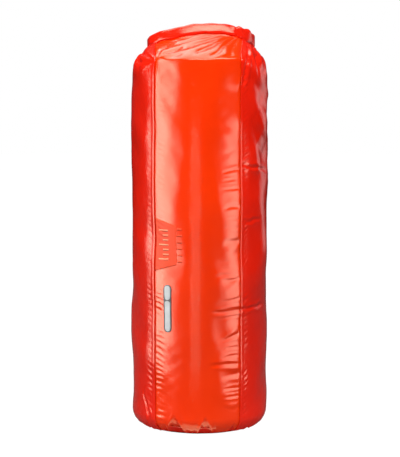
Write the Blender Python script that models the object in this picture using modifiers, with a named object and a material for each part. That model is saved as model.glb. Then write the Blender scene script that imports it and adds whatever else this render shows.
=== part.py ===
"""A roll-top dry bag, standing full of air, with its closure rolled up and buckled into a carry loop.

Metres, +Z up, origin on the floor at the middle of the base, -Y at the front of the bag.
The fabric tube runs from the base, up the wall and over the shoulder to the mouth, whose two layers are
pressed together, rolled round a stiffener strip, and bent back into a loop that a side-release buckle closes.
"""

import math

import bmesh
import bpy
from mathutils import Vector

# Driving dimensions
BAG_RADIUS = 0.1065
FABRIC = 0.0008
GAP = 0.0003
BASE_ROUNDING = 0.030

# The front panel as it shows, and the lap by which it runs on under the welded edges of the back panel
PANEL_HALF_ANGLE = 38.1
LAP_ANGLE = 4.4
LAP_STEP = FABRIC + GAP

# The wall starts at this angle round the rounding, from straight down. The base's rim turns up inside it,
# on a tighter rounding of its own
WALL_START_ANGLE = 25.0
WALL_ROUNDING_ROWS = 4
RIM_FLAT_RADIUS = 0.0745
RIM_ROUNDING = 0.019
RIM_ANGLE = 62.0

# Heights at which the wall starts to lean in, at the front and at the back
SHOULDER_FRONT = 0.556
SHOULDER_BACK = 0.530
SHOULDER_RISE = 0.034
# The fabric that comes from this angle of the wall ends at the tips of the rolled mouth
TIP_ANGLE = 125.0
NECK_HALF_THICKNESS = 0.0025
NECK_CLEARANCE = 0.0025
# The neck's two layers are this far apart by this many degrees from the tip, and come together at it
NECK_PARTED_ANGLE = 8.0
# How the shoulder's curve arrives at the roll: how far out from it, and how far below
APPROACH_SHARE = 0.40
APPROACH_DROP = 0.008
TOP_ROWS = 7

# The rolled mouth: a flattened spiral, and the line that its middle follows from the left tip to the right
ROLL_HEIGHT = 0.020
ROLL_THICKNESS = 0.011
ROLL_LAYER = 0.0010
ROLL_PITCH = 0.00135
ROLL_HALF_TURNS = 5
ROLL_STATIONS = 28
MOUTH_WIDTH = math.pi * BAG_RADIUS
LOOP_MIDDLE = Vector((0.0, 0.032, 0.0))
ROLL_LINE = (
    (-0.056, 0.0840, 0.6000),
    (-0.066, 0.0832, 0.6000),
    (-0.080, 0.0720, 0.6010),
    (-0.087, 0.0470, 0.6030),
    (-0.085, 0.0180, 0.6070),
    (-0.071, -0.0030, 0.6130),
    (-0.042, -0.0135, 0.6205),
    (-0.006, -0.0175, 0.6260),
    (0.030, -0.0155, 0.6270),
    (0.061, -0.0055, 0.6230),
    (0.079, 0.0160, 0.6160),
    (0.089, 0.0450, 0.6080),
    (0.082, 0.0720, 0.6020),
    (0.068, 0.0832, 0.6000),
    (0.057, 0.0840, 0.6000),
)

# The stiffener strip in the roll's core, its bare ends, and the rivets through them
STRIP_WIDTH = 0.0100
STRIP_THICKNESS = 0.0014
STRIP_END = 0.012
RIVET_FROM_TIP = 0.0070
RIVET_RADIUS = 0.0015
RIVET_HEAD_RADIUS = 0.0034
RIVET_HEAD = 0.0009

# Webbing tabs and the buckle, whose own origin is the middle of the plane where its halves meet
WEBBING_WIDTH = 0.020
WEBBING_THICKNESS = 0.0014
TAB_START = 0.0015
TAB_LENGTH = 0.016
TAB_BOW = 0.006
BUCKLE_WIDTH = 0.028
BUCKLE_THICKNESS = 0.0096
SOCKET_LENGTH = 0.030
PLUG_LENGTH = 0.020
BAR_WIDTH = 0.0035
BAR_THICKNESS = 0.0040
SLOT_WIDTH = 0.0040
SLOT_HALF_HEIGHT = 0.0105
CAVITY_HALF_HEIGHT = 0.0102
CAVITY_THICKNESS = 0.0054
CAVITY_DEPTH = 0.0205
WINDOW_NEAR = 0.008
WINDOW_FAR = 0.018
PLUG_FACE = 0.0004
ARM_THICKNESS = 0.0046
ARM_PIVOT = Vector((0.0020, 0.0, 0.0077))
ARM_OUTLINE = (
    (0.0031, 0.0062),
    (0.0031, 0.0094),
    (-0.0083, 0.0094),
    (-0.0089, 0.0123),
    (-0.0122, 0.0136),
    (-0.0147, 0.0136),
    (-0.0173, 0.0096),
    (-0.0173, 0.0075),
    (-0.0140, 0.0066),
)
GUIDE_LENGTH = 0.016
GUIDE_HALF_HEIGHT = 0.0026
GUIDE_ROOT = 0.003
POCKET_DEPTH = 0.0034
POCKET_HALF_HEIGHT = 0.0022

# Cutters reach this far past what they cut, and this deep in all where they cut right through
CUT_MARGIN = 0.001
CUT_THROUGH = 0.02

# The volume mark and the badge on the front panel: angle from the front, and height
MARK_THICKNESS = 0.0004
VOLUME_ANGLES = (-37.7, -27.7, -17.7)
VOLUME_MIDDLE = 0.297
VOLUME_TALL_EDGE = 0.082
VOLUME_SHORT_EDGE = 0.0605
BADGE_ANGLES = (-29.2, -25.5, -21.8)
BADGE_MIDDLE = 0.199
BADGE_LENGTH = 0.074


def material(name, colour, roughness, metallic=0.0):
    made = bpy.data.materials.new(name)
    made.use_nodes = True
    shader = made.node_tree.nodes["Principled BSDF"]
    shader.inputs["Base Color"].default_value = (*colour, 1.0)
    shader.inputs["Roughness"].default_value = roughness
    shader.inputs["Metallic"].default_value = metallic
    return made


def new_object(name, mesh, look):
    """A named object in the bag's collection, with its material."""
    obj = bpy.data.objects.new(name, mesh)
    obj.data.materials.append(look)
    bag.objects.link(obj)
    return obj


def smooth(obj, angle=35.0):
    obj.data.shade_smooth()
    obj.data.set_sharp_from_angle(angle=math.radians(angle))


# Fabric panels


def spline_points(points, steps):
    """A smooth line through the points, as a Catmull-Rom spline with this many steps between each pair."""
    line = [Vector(p) for p in points]
    ends = [2 * line[0] - line[1], *line, 2 * line[-1] - line[-2]]
    found = []
    for a, b, c, d in zip(ends, ends[1:], ends[2:], ends[3:]):
        for i in range(steps):
            t = i / steps
            found.append(
                0.5 * (2 * b + (c - a) * t + (2 * a - 5 * b + 4 * c - d) * t**2 + (3 * b - 3 * c + d - a) * t**3)
            )
    return found + [line[-1]]


def line_length(line):
    return sum((b - a).length for a, b in zip(line, line[1:]))


def mouth_line():
    """The middle line of the rolled mouth, drawn in towards the loop's middle until it is as long as the mouth."""
    line = spline_points(ROLL_LINE, 12)
    for _ in range(4):
        scale = MOUTH_WIDTH / line_length(line)
        line = [Vector((*(LOOP_MIDDLE + (p - LOOP_MIDDLE) * scale).to_2d(), p.z)) for p in line]
    return line


def along_line(line, share):
    """The point at this share of the line's length, and the line's level direction there."""
    left = max(0.0, min(1.0, share)) * line_length(line)
    for a, b in zip(line, line[1:]):
        step = (b - a).length
        if left <= step or b is line[-1]:
            direction = Vector((b.x - a.x, b.y - a.y, 0.0)).normalized()
            return a.lerp(b, left / step), direction
        left -= step


def mouth_share(angle):
    """Where the fabric from this angle ends along the mouth's half line: 0 at its middle, 1 at a tip."""
    away = abs(angle)
    if away <= PANEL_HALF_ANGLE:
        return away / 90.0
    edge = PANEL_HALF_ANGLE / 90.0
    if away <= TIP_ANGLE:
        return edge + (1 - edge) * (away - PANEL_HALF_ANGLE) / (TIP_ANGLE - PANEL_HALF_ANGLE)
    return (180.0 - away) / (180.0 - TIP_ANGLE)


def neck_point(angle):
    """Where the fabric from this angle of the wall meets the roll."""
    side = math.copysign(1.0, angle)
    share = mouth_share(angle)
    point, direction = along_line(MOUTH, 0.5 + 0.5 * side * share)
    outward = Vector((direction.y, -direction.x, 0.0))
    before_tip = TIP_ANGLE - abs(angle)
    layer = math.copysign(min(1.0, abs(before_tip) / NECK_PARTED_ANGLE), before_tip)
    drop = ROLL_HEIGHT / 2 + NECK_CLEARANCE
    return point + outward * layer * NECK_HALF_THICKNESS - Vector((0.0, 0.0, drop))


def wall_point(angle, radius, height):
    a = math.radians(angle)
    return Vector((radius * math.sin(a), -radius * math.cos(a), height))


def shoulder_height(angle):
    share = (1 - math.cos(math.radians(angle))) / 2
    return SHOULDER_FRONT + (SHOULDER_BACK - SHOULDER_FRONT) * share


def tube_column(angle):
    """The points up one line of the fabric tube, from the base's seam to the roll."""
    column = []
    for step in range(WALL_ROUNDING_ROWS + 1):
        a = math.radians(WALL_START_ANGLE + (90.0 - WALL_START_ANGLE) * step / WALL_ROUNDING_ROWS)
        radius = BAG_RADIUS - BASE_ROUNDING * (1 - math.sin(a))
        column.append(wall_point(angle, radius, BASE_ROUNDING * (1 - math.cos(a))))
    start = wall_point(angle, BAG_RADIUS, shoulder_height(angle))
    end = neck_point(angle)
    lift = Vector((0.0, 0.0, SHOULDER_RISE))
    inward = Vector((end.x - start.x, end.y - start.y, 0.0))
    approach = end - APPROACH_SHARE * inward - Vector((0.0, 0.0, APPROACH_DROP))
    for step in range(TOP_ROWS + 1):
        t = step / TOP_ROWS
        column.append(
            start * (1 - t) ** 3
            + (start + lift) * 3 * t * (1 - t) ** 2
            + approach * 3 * t**2 * (1 - t)
            + end * t**3
        )
    return column


def sheet(name, columns, look, outside=0.0, thickness=FABRIC):
    """The columns' surface, moved outwards (or inwards, if less than 0) and then thickened inwards."""
    rows = len(columns[0])
    points = [p for column in columns for p in column]
    faces = [
        (c * rows + r, (c + 1) * rows + r, (c + 1) * rows + r + 1, c * rows + r + 1)
        for c in range(len(columns) - 1)
        for r in range(rows - 1)
    ]
    mesh = bpy.data.meshes.new(name)
    mesh.from_pydata(points, [], faces)
    obj = new_object(name, mesh, look)
    smooth(obj)
    if outside:
        step = obj.modifiers.new("Step", "DISPLACE")
        step.strength = outside
        step.mid_level = 0.0
    shell = obj.modifiers.new("Thickness", "SOLIDIFY")
    shell.thickness = thickness
    shell.offset = -1.0
    return obj


def evenly(start, end, count):
    return [start + (end - start) * i / count for i in range(count + 1)]


def front_panel():
    """The orange fabric, which runs on under the lap at both edges, a step inside the red fabric."""
    reach = PANEL_HALF_ANGLE + LAP_ANGLE
    angles = [-reach, *evenly(-PANEL_HALF_ANGLE, PANEL_HALF_ANGLE, 7), reach]
    sheet("front_panel", [tube_column(a) for a in angles], orange_fabric, outside=-LAP_STEP)


def back_panel():
    """The red fabric, from its edge over the lap on the right, round the back, to its edge on the left."""
    right = evenly(PANEL_HALF_ANGLE + LAP_ANGLE, TIP_ANGLE, 9)
    back = evenly(TIP_ANGLE, 180.0, 6)[1:]
    half = [PANEL_HALF_ANGLE, *right, *back]
    angles = half + [-a for a in reversed(half[:-1])]
    sheet("back_panel", [tube_column(a) for a in angles], red_fabric)


def base_panel():
    """The base: a turned dish, whose rim turns up inside the wall's lower edge."""
    arc = [math.radians(a) for a in evenly(0.0, RIM_ANGLE, 5)]

    def rim(radius):
        return [(RIM_FLAT_RADIUS + radius * math.sin(a), RIM_ROUNDING - radius * math.cos(a)) for a in arc]

    outside = [(0.0, 0.0), *rim(RIM_ROUNDING)]
    inside = [(0.0, FABRIC), *rim(RIM_ROUNDING - FABRIC)]
    profile = list(reversed(outside)) + inside
    points = [(x, 0.0, z) for x, z in profile]
    edges = [(i, (i + 1) % len(points)) for i in range(len(points)) if i != len(outside) - 1]
    mesh = bpy.data.meshes.new("base_panel")
    mesh.from_pydata(points, edges, [])
    obj = new_object("base_panel", mesh, red_fabric)
    turn = obj.modifiers.new("Turn", "SCREW")
    turn.axis = "Z"
    turn.steps = 40
    turn.render_steps = 40
    turn.use_merge_vertices = True
    turn.merge_threshold = 0.00005
    turn.use_normal_calculate = True


def surface_mark(name, angles, half_heights, middle, look):
    """A thin plate that follows the front panel, as tall at each angle as the half heights say."""
    radius = BAG_RADIUS - LAP_STEP + GAP + MARK_THICKNESS
    columns = [
        [wall_point(a, radius, middle - h), wall_point(a, radius, middle + h)]
        for a, h in zip(angles, half_heights)
    ]
    sheet(name, columns, look, thickness=MARK_THICKNESS)


def marks():
    tall, short = VOLUME_TALL_EDGE / 2, VOLUME_SHORT_EDGE / 2
    half_heights = (tall, (tall + short) / 2, short)
    surface_mark("volume_mark", VOLUME_ANGLES, half_heights, VOLUME_MIDDLE, dark_orange)
    half = BADGE_LENGTH / 2
    surface_mark("badge", BADGE_ANGLES, (half, half, half), BADGE_MIDDLE, silver)


# The rolled mouth and its stiffener


def cap_and_weld(obj):
    """Turns a swept curve into a mesh, with its loose caps welded on."""
    graph = bpy.context.evaluated_depsgraph_get()
    mesh = bpy.data.meshes.new_from_object(obj.evaluated_get(graph))
    shape = bmesh.new()
    shape.from_mesh(mesh)
    bmesh.ops.remove_doubles(shape, verts=shape.verts, dist=0.00001)
    bmesh.ops.recalc_face_normals(shape, faces=shape.faces)
    shape.to_mesh(mesh)
    shape.free()
    name, look = obj.name, obj.data.materials[0]
    place = obj.matrix_world.copy()
    bpy.data.objects.remove(obj)
    mesh.materials.clear()
    made = new_object(name, mesh, look)
    made.matrix_world = place
    smooth(made)
    return made


def sweep(name, line, outline, look):
    """The closed outline carried along the line and kept upright, with its ends filled."""
    profile = bpy.data.curves.new(name + "_profile", "CURVE")
    profile.dimensions = "2D"
    ring = profile.splines.new("POLY")
    ring.points.add(len(outline) - 1)
    for point, (x, y) in zip(ring.points, outline):
        point.co = (x, y, 0.0, 1.0)
    ring.use_cyclic_u = True
    section = bpy.data.objects.new(name + "_profile", profile)
    helpers.objects.link(section)
    section.hide_render = True
    section.display_type = "WIRE"

    path = bpy.data.curves.new(name, "CURVE")
    path.dimensions = "3D"
    path.twist_mode = "Z_UP"
    path.bevel_mode = "OBJECT"
    path.bevel_object = section
    path.use_fill_caps = True
    spline = path.splines.new("POLY")
    spline.points.add(len(line) - 1)
    for point, place in zip(spline.points, line):
        point.co = (*place, 1.0)
    obj = new_object(name, path, look)
    bpy.context.view_layer.update()
    return cap_and_weld(obj)


def spiral_outline():
    """The rolled layers: a flattened spiral band, from its outer end under the roll to the core."""
    half_straight = (ROLL_HEIGHT - ROLL_THICKNESS) / 2
    start_radius = (ROLL_THICKNESS - ROLL_LAYER) / 2
    outer, inner = [], []
    steps = 6
    for half_turn in range(ROLL_HALF_TURNS):
        for step in range(steps + 1):
            turned = half_turn + step / steps
            radius = start_radius - ROLL_PITCH * turned / 2
            a = math.pi * turned
            middle = half_straight if half_turn % 2 == 0 else -half_straight
            for side, points in ((0.5, outer), (-0.5, inner)):
                r = radius + side * ROLL_LAYER
                points.append((-r * math.cos(a), middle + r * math.sin(a)))
    tail = (-start_radius - ROLL_LAYER / 2, -half_straight)
    tail_inner = (-start_radius + ROLL_LAYER / 2, -half_straight)
    return [tail, *outer, *reversed(inner), tail_inner]


def rolled_mouth():
    line = [along_line(MOUTH, i / ROLL_STATIONS)[0] for i in range(ROLL_STATIONS + 1)]
    sweep("rolled_mouth", line, spiral_outline(), red_fabric)


def rectangle(width, height):
    x, y = width / 2, height / 2
    return [(-x, -y), (x, -y), (x, y), (-x, y)]


def cut(obj, cutter):
    difference = obj.modifiers.new("Cut", "BOOLEAN")
    difference.operation = "DIFFERENCE"
    difference.object = cutter


def join(obj, other):
    union = obj.modifiers.new("Join", "BOOLEAN")
    union.operation = "UNION"
    union.object = other


def as_helper(obj):
    helpers.objects.link(obj)
    bag.objects.unlink(obj)
    obj.hide_render = True
    obj.display_type = "WIRE"
    return obj


def block(name, low, high, look=None, bevel=0.0):
    """A box from its low to its high corner, with its edges rounded by a Bevel."""
    bpy.ops.mesh.primitive_cube_add(size=1.0)
    obj = bpy.context.object
    low, high = Vector(low), Vector(high)
    for vertex in obj.data.vertices:
        vertex.co = Vector((low[i] if vertex.co[i] < 0 else high[i]) for i in range(3))
    obj.name = name
    for collection in list(obj.users_collection):
        collection.objects.unlink(obj)
    bag.objects.link(obj)
    if look:
        obj.data.materials.append(look)
    if bevel:
        rounded = obj.modifiers.new("Rounded", "BEVEL")
        rounded.width = bevel
        rounded.segments = 2
    return obj


def cylinder(name, radius, depth, place, look=None):
    """A cylinder along Y."""
    bpy.ops.mesh.primitive_cylinder_add(vertices=16, radius=radius, depth=depth)
    obj = bpy.context.object
    obj.name = name
    obj.location = place
    obj.rotation_euler = (math.radians(90), 0.0, 0.0)
    for collection in list(obj.users_collection):
        collection.objects.unlink(obj)
    bag.objects.link(obj)
    if look:
        obj.data.materials.append(look)
    return obj


def rivet_place(side):
    """The rivet's place beyond the left (-1) or right (1) tip, where the strip's bare end runs along X."""
    tip = MOUTH[0] if side < 0 else MOUTH[-1]
    return tip + Vector((-side * RIVET_FROM_TIP, 0.0, 0.0))


def rivet_hole(side):
    hole = cylinder("rivet_hole", RIVET_RADIUS + GAP, CUT_THROUGH, rivet_place(side))
    return as_helper(hole)


def stiffener_strip():
    inner = [along_line(MOUTH, i / ROLL_STATIONS)[0] for i in range(ROLL_STATIONS + 1)]
    start = inner[0] + Vector((STRIP_END, 0.0, 0.0))
    end = inner[-1] - Vector((STRIP_END, 0.0, 0.0))
    outline = rectangle(STRIP_THICKNESS, STRIP_WIDTH)
    obj = sweep("stiffener_strip", [start, *inner, end], outline, white_plastic)
    for side in (-1, 1):
        cut(obj, rivet_hole(side))


# Webbing tabs, rivets and buckle


def tab_line(side, bar_x):
    """The webbing loop: from the rivet, round the buckle's bar at bar_x, and back to the rivet."""
    tip = MOUTH[0] if side < 0 else MOUTH[-1]
    near = STRIP_THICKNESS / 2 + GAP + WEBBING_THICKNESS / 2
    round_bar = BAR_THICKNESS / 2 + GAP + WEBBING_THICKNESS / 2
    start = tip.x - side * TAB_START
    flat_end = tip.x - side * (STRIP_END + 0.001)
    turn = bar_x - side * (BAR_WIDTH / 2 - 0.0002)
    bar_edge = bar_x + side * (BAR_WIDTH / 2 + 0.001)
    bow = TAB_BOW if side > 0 else 0.0

    def run(sign):
        points = [(start, sign * near), (flat_end, sign * near)]
        steps = 10 if bow else 3
        for i in range(1, steps + 1):
            t = i / steps
            apart = near + (round_bar - near) * t * t * (3 - 2 * t)
            bowed = bow * math.sin(math.pi * t) ** 2
            points.append((flat_end + (bar_edge - flat_end) * t, sign * apart + bowed))
        return points + [(turn, sign * round_bar)]

    there, back = run(1.0), run(-1.0)
    bend = [
        (turn - side * round_bar * 0.9 * math.sin(math.pi * i / 6), round_bar * math.cos(math.pi * i / 6))
        for i in range(1, 6)
    ]
    return [Vector((x, tip.y + y, 0.0)) for x, y in there + bend + back[::-1]]


def tab(name, side, bar_x):
    line = tab_line(side, bar_x)
    ribbon = bpy.data.curves.new(name, "CURVE")
    ribbon.dimensions = "3D"
    ribbon.extrude = WEBBING_WIDTH / 2
    spline = ribbon.splines.new("POLY")
    spline.points.add(len(line) - 1)
    for point, place in zip(spline.points, line):
        point.co = (*place, 1.0)
    obj = new_object(name, ribbon, black_webbing)
    obj.location.z = MOUTH[0].z if side < 0 else MOUTH[-1].z
    bpy.context.view_layer.update()
    obj = cap_and_weld(obj)
    shell = obj.modifiers.new("Thickness", "SOLIDIFY")
    shell.thickness = WEBBING_THICKNESS
    shell.offset = 0.0
    shell.use_even_offset = True
    cut(obj, rivet_hole(side))
    return obj


def rivet(name, side):
    """A turned rivet: a shank with a flat head on each side of the webbing."""
    reach = STRIP_THICKNESS / 2 + 2 * GAP + WEBBING_THICKNESS
    profile = [
        (0.0, reach + RIVET_HEAD),
        (RIVET_HEAD_RADIUS * 0.7, reach + RIVET_HEAD),
        (RIVET_HEAD_RADIUS, reach + RIVET_HEAD * 0.5),
        (RIVET_HEAD_RADIUS, reach),
        (RIVET_RADIUS, reach),
    ]
    profile += [(x, -y) for x, y in reversed(profile)]
    mesh = bpy.data.meshes.new(name)
    mesh.from_pydata(
        [(x, 0.0, y) for x, y in profile], [(i, i + 1) for i in range(len(profile) - 1)], []
    )
    obj = new_object(name, mesh, steel)
    turn = obj.modifiers.new("Turn", "SCREW")
    turn.axis = "Z"
    turn.steps = 16
    turn.render_steps = 16
    turn.use_merge_vertices = True
    turn.merge_threshold = 0.00005
    turn.use_normal_calculate = True
    obj.rotation_euler = (math.radians(90), 0.0, 0.0)
    obj.location = rivet_place(side)
    return obj


def centred(x0, x1, half_height, thickness):
    """A block's corners: from x0 to x1, centred on the buckle's length in height and thickness."""
    return (x0, -thickness / 2, -half_height), (x1, thickness / 2, half_height)


def bar_cutters(side, far_end):
    """What leaves a bar at a buckle half's outer end: the slot, and the waste on the bar's two faces."""
    inner = far_end - side * BAR_WIDTH
    slot = sorted((inner, inner - side * SLOT_WIDTH))
    yield block("slot", *centred(slot[0], slot[1], SLOT_HALF_HEIGHT, CUT_THROUGH))
    bar = sorted((inner - side * CUT_MARGIN, far_end + side * CUT_MARGIN))
    for face in (-1, 1):
        low, high = centred(bar[0], bar[1], SLOT_HALF_HEIGHT, CUT_THROUGH)
        y = sorted((face * BAR_THICKNESS / 2, face * CUT_THROUGH / 2))
        yield block("bar_face", (low[0], y[0], low[2]), (high[0], y[1], high[2]))


def buckle_socket(place):
    body = block(
        "buckle_socket",
        *centred(-SOCKET_LENGTH, 0.0, BUCKLE_WIDTH / 2, BUCKLE_THICKNESS),
        look=black_plastic,
        bevel=0.0018,
    )
    body.location = place
    cavity = block("cavity", *centred(-CAVITY_DEPTH, CUT_MARGIN, CAVITY_HALF_HEIGHT, CAVITY_THICKNESS))
    windows = block("windows", *centred(-WINDOW_FAR, -WINDOW_NEAR, BUCKLE_WIDTH, CAVITY_THICKNESS))
    for cutter in (cavity, windows, *bar_cutters(-1, -SOCKET_LENGTH)):
        cutter.location = place
        cut(body, as_helper(cutter))
    smooth(body)
    return body


def buckle_plug(place):
    """The plug's base with its bar and centre guide, and two pockets for its latch arms."""
    body = block(
        "buckle_plug",
        *centred(PLUG_FACE, PLUG_LENGTH, BUCKLE_WIDTH / 2, BUCKLE_THICKNESS),
        look=black_plastic,
        bevel=0.0018,
    )
    body.location = place
    guide_root = PLUG_FACE + GUIDE_ROOT
    guide = block("guide", *centred(-GUIDE_LENGTH, guide_root, GUIDE_HALF_HEIGHT, ARM_THICKNESS))
    guide.location = place
    join(body, as_helper(guide))
    pockets = []
    for z in (ARM_PIVOT.z, -ARM_PIVOT.z):
        low = (-CUT_MARGIN, -CAVITY_THICKNESS / 2, z - POCKET_HALF_HEIGHT)
        high = (POCKET_DEPTH, CAVITY_THICKNESS / 2, z + POCKET_HALF_HEIGHT)
        pockets.append(block("pocket", low, high))
    for cutter in (*pockets, *bar_cutters(1, PLUG_LENGTH)):
        cutter.location = place
        cut(body, as_helper(cutter))
    smooth(body)
    return body


def latch_arm(name, side, place):
    """A flat arm, outlined for above the buckle's middle, turned over for below. Its origin is its pivot."""
    outline = bpy.data.curves.new(name, "CURVE")
    outline.dimensions = "2D"
    outline.fill_mode = "BOTH"
    outline.extrude = ARM_THICKNESS / 2
    spline = outline.splines.new("POLY")
    spline.points.add(len(ARM_OUTLINE) - 1)
    for point, (x, z) in zip(spline.points, ARM_OUTLINE):
        point.co = (x - ARM_PIVOT.x, side * (z - ARM_PIVOT.z), 0.0, 1.0)
    spline.use_cyclic_u = True
    obj = new_object(name, outline, black_plastic)
    obj.rotation_euler = (math.radians(90), 0.0, 0.0)
    obj.location = place + Vector((ARM_PIVOT.x, 0.0, side * ARM_PIVOT.z))
    bpy.context.view_layer.update()
    return cap_and_weld(obj)


def pivot(name, place):
    empty = bpy.data.objects.new(name, None)
    empty.location = place
    bag.objects.link(empty)
    return empty


def hang_on(parent, *objects):
    """Parents the objects and leaves them where they are."""
    bpy.context.view_layer.update()
    for obj in objects:
        place = obj.matrix_world.copy()
        obj.parent = parent
        obj.matrix_parent_inverse = parent.matrix_world.inverted()
        obj.matrix_world = place


def closure():
    """Everything that lifts with the carry loop, hung on the loop's pivot."""
    rolled_mouth()
    stiffener_strip()
    left_bar = MOUTH[0].x + TAB_LENGTH + BAR_WIDTH / 2
    buckle = Vector((left_bar - BAR_WIDTH / 2 + SOCKET_LENGTH, MOUTH[0].y, MOUTH[0].z))
    right_bar = buckle.x + PLUG_LENGTH - BAR_WIDTH / 2
    tab("left_tab", -1, left_bar)
    tab("right_tab", 1, right_bar)
    rivet("left_rivet", -1)
    rivet("right_rivet", 1)
    socket = buckle_socket(buckle)
    plug = buckle_plug(buckle)
    arms = [latch_arm("upper_latch_arm", 1, buckle), latch_arm("lower_latch_arm", -1, buckle)]
    loop = pivot("loop_pivot", along_line(MOUTH, 0.5)[0])
    plug_slide = pivot("plug_slide", buckle)
    hang_on(plug_slide, plug, *arms)
    carried = ("rolled_mouth", "stiffener_strip", "left_tab", "right_tab", "left_rivet", "right_rivet")
    hang_on(loop, plug_slide, socket, *(bpy.data.objects[name] for name in carried))


for leftover in list(bpy.data.objects):
    bpy.data.objects.remove(leftover)

bag = bpy.data.collections.new("dry_bag")
helpers = bpy.data.collections.new("cutters")
bpy.context.scene.collection.children.link(bag)
bpy.context.scene.collection.children.link(helpers)

orange_fabric = material("orange_fabric", (0.90, 0.10, 0.005), 0.28)
red_fabric = material("red_fabric", (0.62, 0.018, 0.008), 0.30)
dark_orange = material("dark_orange", (0.80, 0.06, 0.01), 0.45)
silver = material("silver", (0.62, 0.64, 0.64), 0.35)
white_plastic = material("white_plastic", (0.80, 0.80, 0.78), 0.5)
black_webbing = material("black_webbing", (0.02, 0.02, 0.022), 0.85)
black_plastic = material("black_plastic", (0.015, 0.015, 0.017), 0.42)
steel = material("steel", (0.60, 0.60, 0.62), 0.3, 1.0)

MOUTH = mouth_line()
front_panel()
back_panel()
base_panel()
marks()
closure()
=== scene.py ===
"""The dry bag's looks: its creased coated fabric, rolled mouth, prints, webbing, buckle and studio."""

import math

import bmesh
import bpy
import numpy as np
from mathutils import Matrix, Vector


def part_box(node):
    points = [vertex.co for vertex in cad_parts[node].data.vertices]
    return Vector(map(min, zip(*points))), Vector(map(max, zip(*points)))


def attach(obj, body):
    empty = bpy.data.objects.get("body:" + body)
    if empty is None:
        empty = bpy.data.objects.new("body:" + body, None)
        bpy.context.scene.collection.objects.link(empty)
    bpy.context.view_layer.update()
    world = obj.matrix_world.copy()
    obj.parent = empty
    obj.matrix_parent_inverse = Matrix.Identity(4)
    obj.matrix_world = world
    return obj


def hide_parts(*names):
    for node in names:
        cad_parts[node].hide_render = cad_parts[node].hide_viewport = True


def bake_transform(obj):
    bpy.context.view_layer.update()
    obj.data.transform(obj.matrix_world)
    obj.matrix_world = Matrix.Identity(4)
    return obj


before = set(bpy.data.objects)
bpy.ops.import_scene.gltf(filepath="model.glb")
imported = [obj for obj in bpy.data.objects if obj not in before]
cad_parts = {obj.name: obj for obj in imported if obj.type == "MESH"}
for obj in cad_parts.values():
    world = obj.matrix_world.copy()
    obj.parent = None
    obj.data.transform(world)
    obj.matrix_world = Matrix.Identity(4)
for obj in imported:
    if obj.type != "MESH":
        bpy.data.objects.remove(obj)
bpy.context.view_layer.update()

# The wall's proportions. The base rounding and the shoulder's start differ from the CAD's by 4 to 5 mm, for the looks.
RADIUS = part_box("back_panel")[1].x
ROUNDING = 0.026
FABRIC = 0.0008
STEP = 0.0011
PANEL_HALF_ANGLE = 38.1
LAP_ANGLE = 4.4
TIP_ANGLE = 125.0
SHOULDER_FRONT = 0.561
SHOULDER_BACK = 0.534
SHOULDER_RISE = 0.034
WALL_START_ANGLE = 25.0
ROLL_HEIGHT = 0.020
ROLL_THICKNESS = 0.011
NECK_HALF_THICKNESS = 0.0022
MOUTH_WIDTH = math.pi * RADIUS
LOOP_MIDDLE = Vector((0.0, 0.032, 0.0))
ROLL_LINE = (
    (-0.056, 0.0840, 0.6000),
    (-0.066, 0.0832, 0.6000),
    (-0.080, 0.0720, 0.6010),
    (-0.087, 0.0470, 0.6030),
    (-0.085, 0.0180, 0.6070),
    (-0.071, -0.0030, 0.6130),
    (-0.042, -0.0135, 0.6205),
    (-0.006, -0.0175, 0.6260),
    (0.030, -0.0155, 0.6270),
    (0.061, -0.0055, 0.6230),
    (0.079, 0.0160, 0.6160),
    (0.089, 0.0450, 0.6080),
    (0.082, 0.0720, 0.6020),
    (0.068, 0.0832, 0.6000),
    (0.057, 0.0840, 0.6000),
)

# How finely the fabric is cut up: cells across the front panel, across a seam's zone and across half the back, and rows
FRONT_CELLS = 80
SEAM_ZONE = 30.0
SEAM_CELLS = 26
BACK_CELLS = 36
ROW = 0.0022
TOP_ROWS = 76
TOP_START = 0.520

# The roll as it looks: a little lower than its solid, in rolled layers of fabric
ROLL_STATIONS = 170
ROLL_LOOK_HEIGHT = 0.0180
ROLL_LOOK_THICKNESS = 0.0092
ROLL_DROP = 0.0012
ROLL_LAYER = 0.0010
ROLL_PITCH = 0.00135
ROLL_HALF_TURNS = 5
FLAP_START = 0.057
FLAP_END = 0.088

# The prints on the front, by their angles from the front and heights
VOLUME_ANGLES = (-37.7, -17.7)
VOLUME_MIDDLE = 0.297
VOLUME_TALL_EDGE = 0.082
VOLUME_SHORT_EDGE = 0.0605
TICK_ANGLES = (-34.5, -25.0)
TICK_COUNT = 7
TICK_PITCH = 0.0074
TICK_WIDTH = 0.0028
DASH_ANGLES = (-17.0, -12.8)
DASH_COUNT = 6
DASH_PITCH = 0.0100
DASH_WIDTH = 0.0030
BADGE_ANGLE = -25.5
BADGE_MIDDLE = 0.199
BADGE_LENGTH = 0.074
BADGE_WIDTH = 0.0134

# The front shoulder's break is tighter and higher than the sides'
FRONT_BREAK = 0.580
FRONT_BREAK_RISE = 0.009


# The fabric's creases, in metres and degrees. Puckers and creases beside the welds repeat at these steps up the wall.
PUCKER_STEP = 0.0085
PUCKER_SLANT = 0.016
PUCKER_HEIGHT = 0.0009
RED_PUCKER_HEIGHT = 0.0011
CREASE_STEP = 0.0200
CREASE_WIDTH = 0.0018
WELD_WIDTH = 0.0058

# Single creases on the wall: height, first and last angle, tilt and depth
WALL_CREASES = (
    (0.193, 14.0, 72.0, 0.05, 0.0016),
    (0.112, 12.0, 40.0, -0.04, 0.0014),
    (0.251, 16.0, 37.0, 0.02, 0.0007),
    (0.330, 40.0, 66.0, 0.10, 0.0012),
    (0.418, 42.0, 80.0, -0.16, 0.0016),
)
WALL_CREASE_WIDTH = 0.0022

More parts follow.
